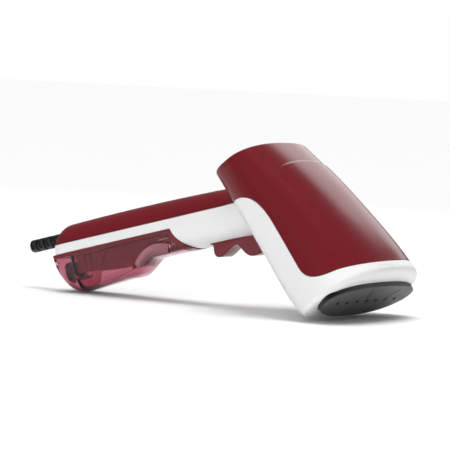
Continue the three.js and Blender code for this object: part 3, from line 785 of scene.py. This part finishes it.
def guard_piece():
    """A short bend relief: a tube with raised ribs, slotted between them."""
    profile = [(GUARD_BORE, GUARD_END), (GUARD_RADIUS - GUARD_ROUND, GUARD_END)]
    for angle in (30, 60, 90):
        a = math.radians(angle)
        profile.append((
            GUARD_RADIUS - GUARD_ROUND + GUARD_ROUND * math.sin(a),
            GUARD_END + GUARD_ROUND * (1 - math.cos(a)),
        ))
    for x in GUARD_NECKS:
        profile += [
            (GUARD_RADIUS, x - 0.95), (GUARD_RADIUS - 0.35, x - 0.8),
            (GUARD_RADIUS - 1.1, x - 0.55), (GUARD_RADIUS - 1.1, x + 0.55),
            (GUARD_RADIUS - 0.35, x + 0.8), (GUARD_RADIUS, x + 0.95),
        ]
    profile += [(GUARD_RADIUS, GUARD_FRONT), (GUARD_BORE, GUARD_FRONT)]
    guard = spun("guard", profile, 0, CORD_LEVEL, 72)
    for x in GUARD_SLOTS:
        for side in (-1, 1):
            start, end = sorted((side * 3.3, side * 6))
            slot = bar((x - 1.5, start, CORD_LEVEL - 2.6), (x + 1.5, end, CORD_LEVEL + 2.6))
            round_edges(slot, 0.6, 3)
            cut(guard, slot)
    return guard


def light_piece():
    profile = [(0, 82.6), (LENS_RADIUS, 82.6), (LENS_RADIUS, LENS_SHOULDER)]
    for angle in (20, 40, 60, 75, 90):
        a = math.radians(angle)
        profile.append((LENS_RADIUS * math.cos(a), LENS_SHOULDER + 0.5 * math.sin(a)))
    lens = spun("lens", profile, 0, 0, 48)
    lens.rotation_euler = (0, -math.pi / 2, 0)
    settle(lens)
    lens.location = (LIGHT_X, 0, 0)
    return settle(lens)


# ---- tank ----------------------------------------------------------------------------
def tank_bottom(x):
    to_rear = np.clip((x - TANK_BEND) / (TANK_REAR - TANK_BEND), 0, 1)
    rear_rise = 18 * (1 - math.sqrt(1 - to_rear ** 2))
    belly = TANK_BOTTOM + 1.6 * np.clip((x + 212) / 36, 0, 1)
    return belly + rear_rise + (NECK_BOTTOM - TANK_BOTTOM - 1.6) * ease((x + 170) / 19)


def tank_loft(name, inset):
    """Flat-sided at the top and round below; an inset body runs up through the top."""
    rear = TANK_REAR + inset
    ends = np.cos(np.radians(np.linspace(0, 90, 14)[1:]))
    stations = np.concatenate([
        [rear], [x for x in TANK_BEND + (TANK_REAR - TANK_BEND) * ends if x > rear + 0.3],
        np.arange(-213, -172, 3.0), np.arange(-171.5, -149, 1.5), np.arange(-148, -99, 4.0),
    ])
    rings = []
    for x in stations:
        bottom = tank_bottom(max(x, TANK_REAR + 0.01))
        angle = np.linspace(0, math.pi, 61)
        y = (TANK_HALF_WIDTH - inset) * signed_power(np.cos(angle), 2 / 3)
        z = BAY_CEILING - (BAY_CEILING - bottom - inset) * signed_power(np.sin(angle), 2 / 3)
        ring = np.column_stack([np.full(61, x), y, z])
        top = [(x, inset - TANK_HALF_WIDTH, 80), (x, TANK_HALF_WIDTH - inset, 80)]
        rings.append(np.vstack([ring, top]))
    tank = closed_loft(name, rings)
    radius = NECK_END_RADIUS + GAP + inset
    ceiling = 90 if inset else BAY_CEILING - GAP
    start = math.asin((NECK_END_Z - NECK_BOTTOM - inset - 1.2) / radius)
    end = math.asin((NECK_END_Z - BAY_CEILING + GAP) / radius)
    arc = neck_arc(radius, start, end)
    side = [(-240, ceiling), (-240, 30), (arc[0][0], 30), *arc]
    if inset:
        side.append((arc[-1][0], ceiling))
    return trim(tank, prism("tank_side", side, 60))


def flange_region(grow):
    """The solid red band along the tank's top and down its front, in side view."""
    low = LID_BOTTOM - grow
    radius = NECK_END_RADIUS + GAP + FLANGE_WIDTH + grow
    start = math.asin((NECK_END_Z - NECK_BOTTOM + 4) / radius)
    end = math.asin((NECK_END_Z - low) / radius)
    arc = neck_arc(radius, start, end)
    outline = [(-260, low), (-260, 100), (-60, 100), (-60, arc[0][1] - 6), *arc]
    return prism("flange_region", outline, 70)


def between(side, first, second, outline):
    """A slab of a side-view outline, between two distances from the middle plane."""
    low, high = sorted((side * first, side * second))
    slab = prism("slab", outline, (high - low) / 2)
    slab.location.y = (low + high) / 2
    return settle(slab)


def dark_sheet_piece(side):
    """A deep red sheet beside the wall, which makes the tank's upper rear darker."""
    return between(side, *DARK_SHEET_DEPTHS, [
        (-210, 56.1), (-210, 68), (-139, 68), (-141, 66), (-149, 65), (-157, 60.4),
        (-163.5, 55), (-166, 52.4),
    ])


def side_ribs(side):
    """Two upright ribs and a slanted one on the inside of the wall."""
    ribs = []
    for x in (-203.2, -198.4):
        ribs.append(between(side, *RIB_DEPTHS, [(x, 46), (x, 67), (x + 1.1, 67), (x + 1.1, 46)]))
    slanted = [(-184.8, 66), (-183.4, 66), (-196.6, 45.6), (-198, 45.6)]
    ribs.append(between(side, *RIB_DEPTHS, slanted))
    return ribs


def crease(side):
    """The shallow fold across a thumb grip."""
    start, end = (-166, 47.6), (-138, 54.2)
    fold = bar((-17, -6, -0.18), (17, 6, 0.18))
    fold.rotation_euler = (0, -math.atan2(end[1] - start[1], end[0] - start[0]), 0)
    fold.location = ((start[0] + end[0]) / 2, side * 18, (start[1] + end[1]) / 2)
    return settle(fold)


def thumb_dent(side, inset):
    """The leaf-shaped pocket of a thumb grip, cut into the tank's side."""
    upper = curve((-163.8, 53.6), (-157, 60.5), (-150, 63.8), (-141.6, 63.6), 16)
    upper += curve(upper[-1], (-137, 63.4), (-133.5, 62), (-132.3, 60.8), 8)
    lower = curve(upper[-1], (-137, 56.5), (-140.5, 51.5), (-141.2, 49.5), 12)
    lower += curve(lower[-1], (-144, 43), (-151, 42), (-155, 43.6), 12)
    lower += curve(lower[-1], (-159, 45), (-162.6, 49), (-163.8, 53.6), 10)
    leaf = np.array([(-163.8, 53.6), *upper, *lower[:-1]])
    middle = leaf.mean(axis=0)
    leaf = middle + (leaf - middle) * (1 - inset / 12)
    dent = prism("dent", [tuple(p) for p in leaf], 5)
    dent.location.y = side * (THUMB_DENT_FACE + 5)
    return settle(dent)


def tank_pieces():
    outer = tank_loft("tank_outside", 0)
    inner = tank_loft("tank_inside", TANK_WALL)
    lid = copy_of(outer, "lid")
    pads = copy_of(outer, "pads")
    room = tank_loft("room", TANK_WALL / 2)
    trim(lid, flange_region(0))
    cut(lid, rod("X", 4.1, -150, -100, 0, VALVE_LEVEL))
    cut(outer, flange_region(0.12))
    rear_cap = copy_of(outer, "rear_cap")
    cut(rear_cap, bar((REAR_CAP_START, -60, 0), (-60, 60, 120)))
    cut(rear_cap, inner, keep=True)
    cut(rear_cap, rod("X", FILLER_RADIUS + GAP, -240, -205, 0, FILLER_LEVEL))
    cut(rear_cap, rod("X", 7.8, -240, FILLER_END + 0.4, 0, FILLER_LEVEL))
    reservoir = outer
    cut(reservoir, bar((-260, -60, 0), (REAR_CAP_START + GAP, 60, 120)))
    cut(inner, bar((-260, -60, 0), (REAR_CAP_START + GAP + TANK_WALL, 60, 120)))
    cut(reservoir, inner)
    for side in (-1, 1):
        for piece in side_ribs(side):
            join(reservoir, trim(piece, room, keep=True))
        cut(reservoir, thumb_dent(side, 0))
    join(reservoir, rod("X", 4, -134, -115.2, 0, VALVE_LEVEL))
    join(reservoir, rod("X", FILLER_RADIUS, FILLER_END, REAR_CAP_START + 1, 0, FILLER_LEVEL))
    cut(reservoir, rod("X", 2.2, -140, -110, 0, VALVE_LEVEL, 32))
    cut(reservoir, rod("X", FILLER_BORE, -235, REAR_CAP_START + 4, 0, FILLER_LEVEL))
    # deep red sheets beside both walls, which make the tank's upper rear darker
    dark_sheets = dark_sheet_piece(-1)
    join(dark_sheets, dark_sheet_piece(1))
    trim(dark_sheets, room)
    leaves = thumb_dent(-1, 0.12)
    join(leaves, thumb_dent(1, 0.12))
    trim(pads, leaves)
    for side in (-1, 1):
        cut(pads, crease(side))
    return reservoir, rear_cap, lid, pads, dark_sheets


def plug_piece():
    end = FILLER_END - GAP
    profile = [
        (0, -227.2), (6.9, -227.2), (7.35, -227.0), (7.5, -226.6), (7.5, end + 0.1 - 0.3),
        (7.3, end), (4.9, end), (4.9, -221.6), (5.05, -221.2), (4.9, -220.8), (4.8, -218),
        (4.2, -217), (0, -217),
    ]
    plug = spun("plug", profile, 0, FILLER_LEVEL, 64)
    for side in (-1, 1):
        dent = rod("Y", 3.2, min(side * 2, side * 9), max(side * 2, side * 9), -229.6,
                   FILLER_LEVEL)
        cut(plug, dent)
    return plug


def pickup_piece():
    deselect_all()
    points = [
        (-141, VALVE_LEVEL), (-148, VALVE_LEVEL - 1), (-160, 59), (-174, 53), (-184, 50),
        (-202, 48.6),
    ]
    bpy.ops.curve.primitive_nurbs_path_add()
    hose = bpy.context.object
    spline = hose.data.splines[0]
    spline.points.add(len(points) - len(spline.points))
    for point, (x, z) in zip(spline.points, points):
        point.co = (x, 0, z, 1)
    spline.order_u = 4
    spline.use_endpoint_u = True
    hose.data.bevel_depth = 1.8
    hose.data.bevel_resolution = 6
    hose.data.resolution_u = 16
    hose.data.use_fill_caps = True
    select_only(hose)
    bpy.ops.object.convert(target="MESH")
    return named("hose")


# ---- steam plate ---------------------------------------------------------------------
GROOVES = (
    ((-8.6, 13.3), (-4.6, 2.4)),
    ((30.9, 12.2), (24, 2.2)),
    ((-8.2, -5.2), (-23.6, -15.0)),
    ((18.2, -5.9), (17.2, -15.6)),
)


def groove_cutter(start, end):
    """A long tapered bead, sunk so that it only scores the plate."""
    length = math.hypot(end[0] - start[0], end[1] - start[1])
    deselect_all()
    bpy.ops.mesh.primitive_uv_sphere_add(segments=32, ring_count=24, radius=1)
    bead = named("groove")
    bead.scale = (1.7, length / 2 + 0.8, 0.75)
    settle(bead)
    turn = math.atan2(end[1] - start[1], end[0] - start[0])
    bead.rotation_euler = (turn, 0, 0)
    bead.location = (PLATE_FRONT + 0.5, (start[0] + end[0]) / 2, (start[1] + end[1]) / 2)
    return settle(bead)


def wave_cutter():
    """The lower part of the plate lies a little deeper, along a soft wave."""
    wave = [(-60, -9)]
    wave += curve((-60, -9), (-40, -8.4), (-30, -4.4), (-14, -4.2), 12)
    wave += curve((-14, -4.2), (0, -4), (6, -6.6), (17, -6.4), 10)
    wave += curve((17, -6.4), (30, -6.2), (40, -3), (60, -3.4), 12)
    outline = wave + [(60, -40), (-60, -40)]
    cutter = prism("wave", outline, 1.0, across="X")
    cutter.location.x = PLATE_FRONT + 1.0 - 0.22
    return settle(cutter)


def plate_pieces():
    plate = plate_slab("plate", RIM_WIDTH + GAP, -1, RIM_FRONT + 0.4)
    join(plate, plate_slab("plate_face", 0.4, RIM_FRONT + 0.05, PLATE_FRONT))
    cut(plate, wave_cutter())
    for start, end in GROOVES:
        cut(plate, groove_cutter(start, end))
    middle = (HOLE_COUNT - 1) / 2
    for i in range(HOLE_COUNT):
        y = (i - middle) * HOLE_PITCH
        cut(plate, rod("X", HOLE_RADIUS, -5, 5, y, 0))
        cut(plate, rod("X", HOLE_RADIUS - 0.3, PLATE_FRONT - 0.9, PLATE_FRONT + 0.6, y, 0,
                       taper=(HOLE_RADIUS + 0.25) / (HOLE_RADIUS - 0.3)))
    round_edges(plate, 0.22, 2, 28)
    rings = []
    for inset, x in (
        (0, -4.9), (0, RIM_FRONT - 0.2), (0.2, RIM_FRONT), (2, RIM_FRONT), (2, -4.9),
    ):
        flat = plate_outline(inset, 200)
        rings.append(np.column_stack([np.full(200, x), flat]))
    rings.append(rings[0])
    rings = [np.vstack([ring, ring[:1]]) for ring in rings]
    rim = laid_sheet("rim", rings)
    edit(rim)
    bpy.ops.mesh.remove_doubles(threshold=0.001)
    bpy.ops.mesh.normals_make_consistent(inside=False)
    leave_edit()
    for i in range(HOLE_COUNT):
        y = (i - middle) * HOLE_PITCH
        lining = rod("X", HOLE_RADIUS - 0.02, -1, PLATE_FRONT - 0.12, y, 0)
        cut(lining, rod("X", HOLE_RADIUS - 0.35, -2, 5, y, 0))
        join(rim, lining)
    return plate, rim


# ---- everything in place -------------------------------------------------------------
shell, bezel, housing = barrel_pieces()
fit(shell, "red_top_shell", HEAD, "steamer_body", "red_gloss", ["top_shell"])
fit(bezel, "white_bezel", HEAD, "steamer_body", "white_gloss", ["front_bezel"])
fit(housing, "white_underside", HEAD, "steamer_body", "white_gloss", ["lower_housing"])
plate, rim = plate_pieces()
fit(plate, "pressing_plate", HEAD, "steamer_body", "coated_plate", ["steam_plate"])
fit(rim, "black_plate_rim", HEAD, "steamer_body", "black_plastic", ["plate_rim"])
body, cover = grip_pieces()
fit(body, "white_handle_body", GRIP, "steamer_body", "white_gloss", ["handle_body"])
fit(cover, "red_handle_cover", GRIP, "steamer_body", "red_gloss", ["handle_back_cover"])
fit(trigger_piece(), "steam_trigger", GRIP, "trigger", "red_gloss", ["trigger"])
fit(guard_piece(), "ribbed_cord_guard", GRIP, "steamer_body", "black_rubber", ["cord_guard"])
fit(light_piece(), "ready_lens", GRIP, "steamer_body", "clear_lens", ["ready_light"])
reservoir, rear_cap, lid, pads, dark_sheets = tank_pieces()
fit(reservoir, "water_reservoir", GRIP, "tank", "tank_red", ["tank_reservoir"])
fit(rear_cap, "reservoir_end_cap", GRIP, "tank", "tank_red", ["tank_rear_cap"])
fit(lid, "reservoir_lid", GRIP, "tank", "lid_red", ["tank_lid"])
fit(pads, "thumb_grip_pads", GRIP, "tank", "frosted_red")
# the deep red sheets that make the tank's upper rear darker
fit(dark_sheets, "reservoir_dark_sheets", GRIP, "tank", "deep_red")
plug = fit(plug_piece(), "rubber_filler_plug", GRIP, "filler_plug", "red_rubber", ["filler_plug"])
fit(pickup_piece(), "pickup_hose", GRIP, "tank", "silicone", ["pickup_tube"])

# ---- table, light and camera ---------------------------------------------------------
deselect_all()
bpy.ops.mesh.primitive_plane_add(size=TABLE_SIZE, location=(0, 0, TABLE_LEVEL))
table = named("table")
table_finish = finish("table_white", (0.9, 0.9, 0.9), 0.7, waves=3.0, bump=0.0, tone=0.01)
table.data.materials.append(table_finish)


def soft_light(name, place, aim, size, power):
    deselect_all()
    bpy.ops.object.light_add(type="AREA", location=place)
    lamp = bpy.context.object
    lamp.name = name
    lamp.data.shape = "RECTANGLE"
    lamp.data.size, lamp.data.size_y = size
    lamp.data.energy = power
    lamp.rotation_euler = (Vector(aim) - Vector(place)).to_track_quat("-Z", "Y").to_euler()
    return lamp


soft_light("rear_softbox", (-0.2, 1.27, 0.7), (0.1, 0, 0.07), (0.8, 0.8), 3.2)


def broad_light(name, lean, strength, spread):
    """A distant diffused lamp that leans off the vertical about X and Y, in degrees."""
    deselect_all()
    bpy.ops.object.light_add(type="SUN", location=(0, 0, 2))
    lamp = bpy.context.object
    lamp.name = name
    lamp.data.energy = strength
    lamp.data.angle = math.radians(spread)
    lamp.rotation_euler = (math.radians(lean[0]), math.radians(lean[1]), 0)
    lamp.visible_glossy = False


broad_light("ceiling_light", (-6, 0), 2.7, 42)
broad_light("front_light", (60, 30), 1.25, 60)

# The backdrop is seen white, and lights the steamer much less than that.
FILL_STRENGTH = 0.17
world = bpy.data.worlds.new("studio")
bpy.context.scene.world = world
world.use_nodes = True
tree = world.node_tree
backdrop = tree.nodes["Background"]
backdrop.inputs["Color"].default_value = (1, 1, 1, 1)
backdrop.inputs["Strength"].default_value = FILL_STRENGTH
seen = tree.nodes.new("ShaderNodeBackground")
seen.inputs["Color"].default_value = (1, 1, 1, 1)
seen.inputs["Strength"].default_value = 1.0
ray = tree.nodes.new("ShaderNodeLightPath")
mix = tree.nodes.new("ShaderNodeMixShader")
tree.links.new(ray.outputs["Is Camera Ray"], mix.inputs[0])
tree.links.new(backdrop.outputs[0], mix.inputs[1])
tree.links.new(seen.outputs[0], mix.inputs[2])
tree.links.new(mix.outputs[0], tree.nodes["World Output"].inputs["Surface"])

CAMERA_PLACE = (0.96901, -1.55827, 0.15299)
CAMERA_AZIMUTH = math.radians(31.500)
CAMERA_ELEVATION = math.radians(3.093)
CAMERA_ROLL = math.radians(2.754)
CAMERA_LENS = 215.86

back = Vector((
    math.sin(CAMERA_AZIMUTH) * math.cos(CAMERA_ELEVATION),
    -math.cos(CAMERA_AZIMUTH) * math.cos(CAMERA_ELEVATION),
    math.sin(CAMERA_ELEVATION),
))
level = Vector((math.cos(CAMERA_AZIMUTH), math.sin(CAMERA_AZIMUTH), 0))
upright = back.cross(level)
right = level * math.cos(CAMERA_ROLL) + upright * math.sin(CAMERA_ROLL)
above = upright * math.cos(CAMERA_ROLL) - level * math.sin(CAMERA_ROLL)
bpy.ops.object.camera_add(location=CAMERA_PLACE)
camera = bpy.context.object
camera.name = "product_camera"
camera.matrix_world = Matrix.Translation(CAMERA_PLACE) @ Matrix(
    (right, above, back)
).transposed().to_4x4()
camera.data.sensor_width = 36
camera.data.lens = CAMERA_LENS
camera.data.clip_start = 0.05
camera.data.clip_end = 100
bpy.context.scene.camera = camera
bpy.context.scene.view_settings.view_transform = "Standard"
